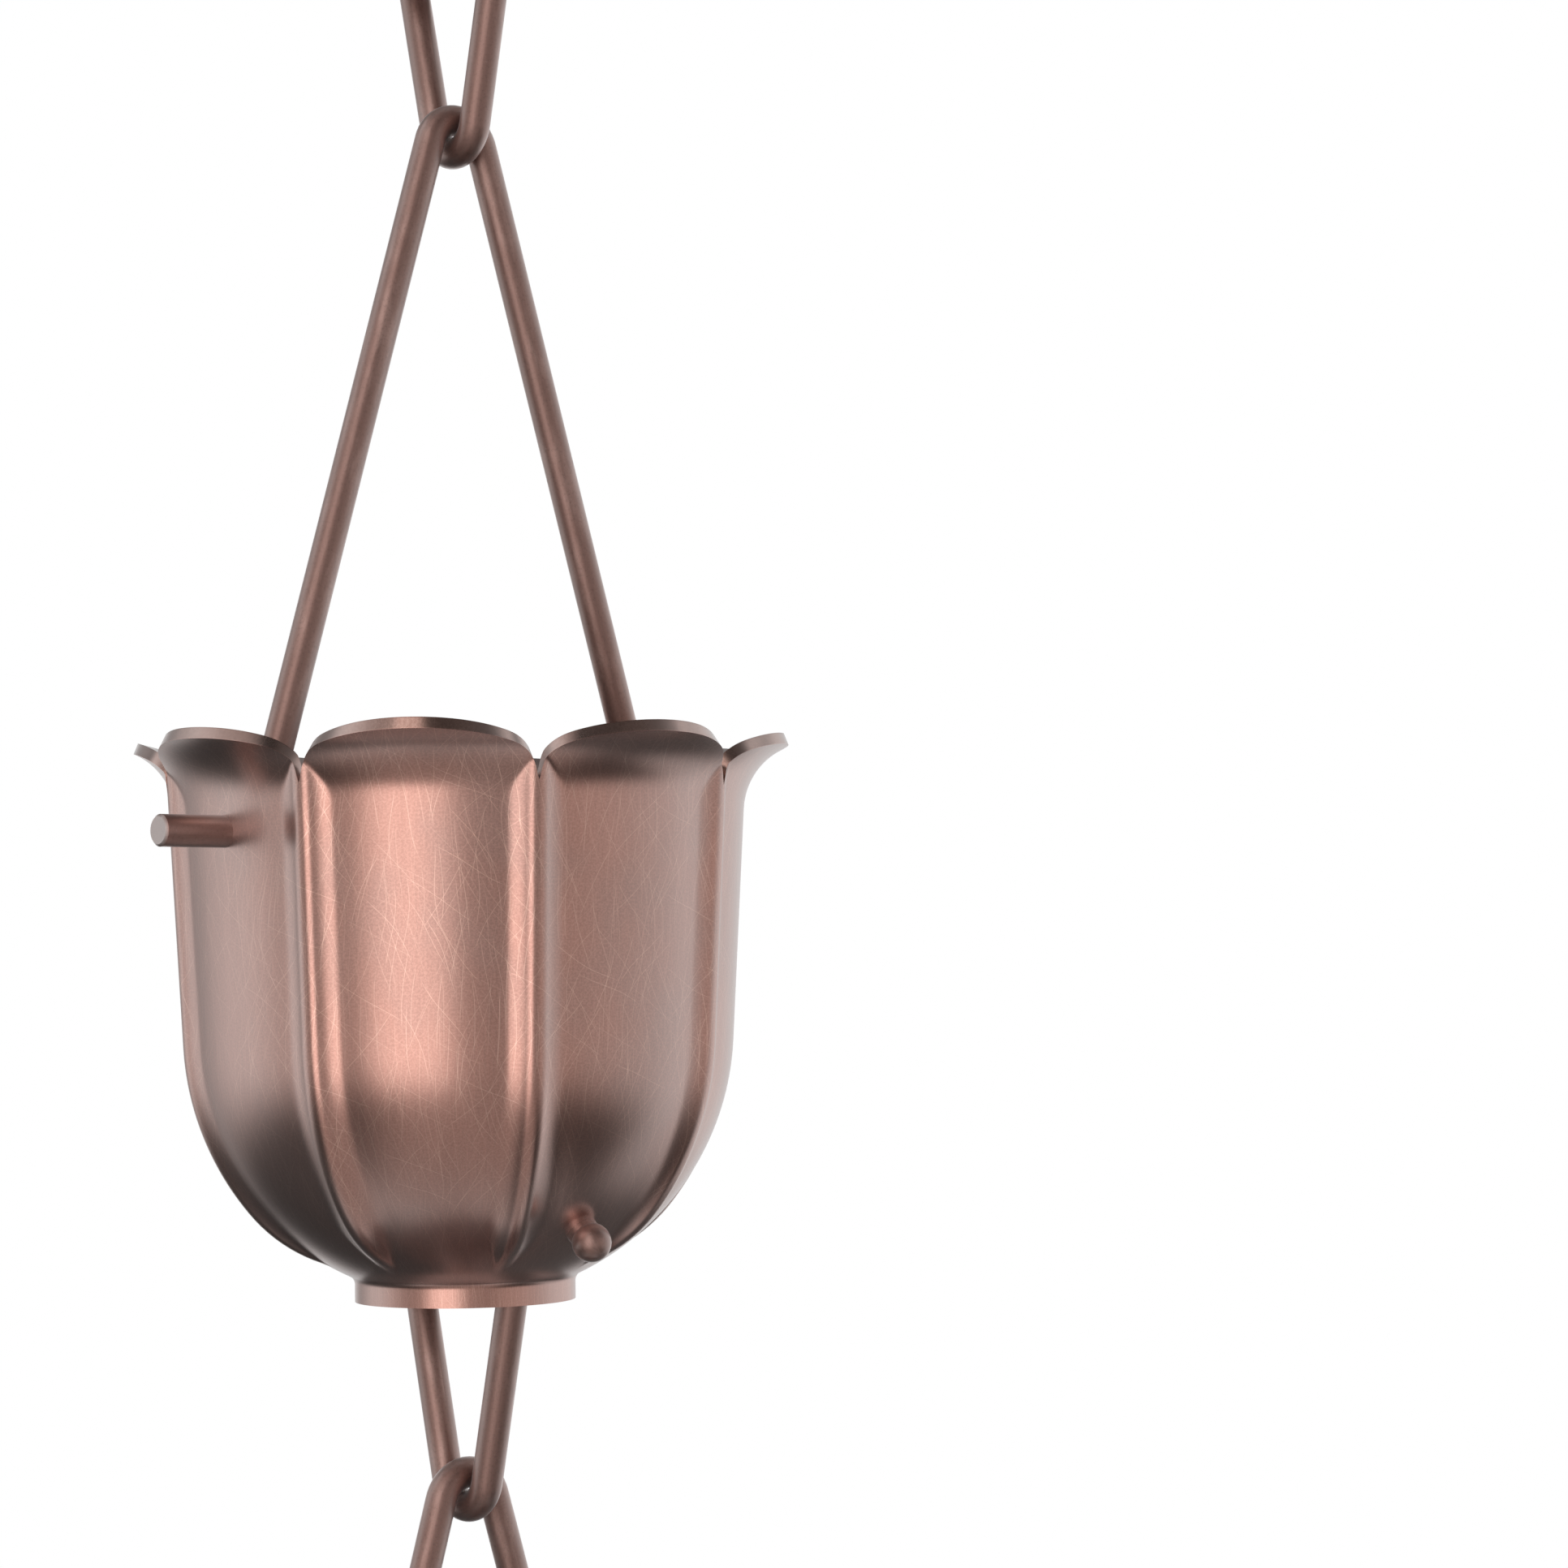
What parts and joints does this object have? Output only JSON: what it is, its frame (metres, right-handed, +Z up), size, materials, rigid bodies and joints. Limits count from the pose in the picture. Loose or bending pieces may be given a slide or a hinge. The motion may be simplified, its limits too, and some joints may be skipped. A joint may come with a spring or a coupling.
{
  "type": "rain chain",
  "caption": "Hanging chain of petalled copper cups on bent wire hangers and loops, which leads rain water down from a gutter.",
  "frame": {"origin": "centre of the bend at the top of the first hanger, where the chain hangs", "axes": "+Z up along the chain; X along the stub ends of the hangers; Y along the studs of the loops"},
  "size_m": [0.0914, 0.0856, 0.8818],
  "materials": {
    "cup_sheet": "brushed antique copper",
    "wire": "darkened copper wire"
  },
  "bodies": {
    "hanger_1": {"hanger_1": "wire"},
    "cup_1": {"cup_1": "cup_sheet"},
    "loop_1": {"loop_1": "wire"},
    "hanger_2": {"hanger_2": "wire"},
    "cup_2": {"cup_2": "cup_sheet"},
    "loop_2": {"loop_2": "wire"},
    "hanger_3": {"hanger_3": "wire"},
    "cup_3": {"cup_3": "cup_sheet"},
    "loop_3": {"loop_3": "wire"},
    "hanger_4": {"hanger_4": "wire"},
    "cup_4": {"cup_4": "cup_sheet"},
    "loop_4": {"loop_4": "wire"},
    "hanger_5": {"hanger_5": "wire"},
    "cup_5": {"cup_5": "cup_sheet"},
    "loop_5": {"loop_5": "wire"}
  },
  "joints": [
    {"name": "cup_1_tilt", "type": "hinge", "parent": "hanger_1", "child": "cup_1", "pos_m": [0, 0, -0.089], "axis": [1, 0, 0], "range_deg": [-50, 50]},
    {"name": "loop_1_swing", "type": "hinge", "parent": "cup_1", "child": "loop_1", "pos_m": [0, 0, -0.13822], "axis": [0, 1, 0], "range_deg": [-15, 15]},
    {"name": "hanger_2_swing", "type": "hinge", "parent": "loop_1", "child": "hanger_2", "pos_m": [0, 0, -0.1747], "axis": [0, 1, 0], "range_deg": [-60, 60]},
    {"name": "cup_2_tilt", "type": "hinge", "parent": "hanger_2", "child": "cup_2", "pos_m": [0, 0, -0.2637], "axis": [-1, 0, 0], "range_deg": [-50, 50]},
    {"name": "loop_2_swing", "type": "hinge", "parent": "cup_2", "child": "loop_2", "pos_m": [0, 0, -0.31292], "axis": [0, -1, 0], "range_deg": [-15, 15]},
    {"name": "hanger_3_swing", "type": "hinge", "parent": "loop_2", "child": "hanger_3", "pos_m": [0, 0, -0.3494], "axis": [0, -1, 0], "range_deg": [-60, 60]},
    {"name": "cup_3_tilt", "type": "hinge", "parent": "hanger_3", "child": "cup_3", "pos_m": [0, 0, -0.4384], "axis": [1, 0, 0], "range_deg": [-50, 50]},
    {"name": "loop_3_swing", "type": "hinge", "parent": "cup_3", "child": "loop_3", "pos_m": [0, 0, -0.48762], "axis": [0, 1, 0], "range_deg": [-15, 15]},
    {"name": "hanger_4_swing", "type": "hinge", "parent": "loop_3", "child": "hanger_4", "pos_m": [0, 0, -0.5241], "axis": [0, 1, 0], "range_deg": [-60, 60]},
    {"name": "cup_4_tilt", "type": "hinge", "parent": "hanger_4", "child": "cup_4", "pos_m": [0, 0, -0.6131], "axis": [-1, 0, 0], "range_deg": [-50, 50]},
    {"name": "loop_4_swing", "type": "hinge", "parent": "cup_4", "child": "loop_4", "pos_m": [0, 0, -0.66232], "axis": [0, -1, 0], "range_deg": [-15, 15]},
    {"name": "hanger_5_swing", "type": "hinge", "parent": "loop_4", "child": "hanger_5", "pos_m": [0, 0, -0.6988], "axis": [0, -1, 0], "range_deg": [-60, 60]},
    {"name": "cup_5_tilt", "type": "hinge", "parent": "hanger_5", "child": "cup_5", "pos_m": [0, 0, -0.7878], "axis": [1, 0, 0], "range_deg": [-50, 50]},
    {"name": "loop_5_swing", "type": "hinge", "parent": "cup_5", "child": "loop_5", "pos_m": [0, 0, -0.83702], "axis": [0, 1, 0], "range_deg": [-15, 15]}
  ]
}
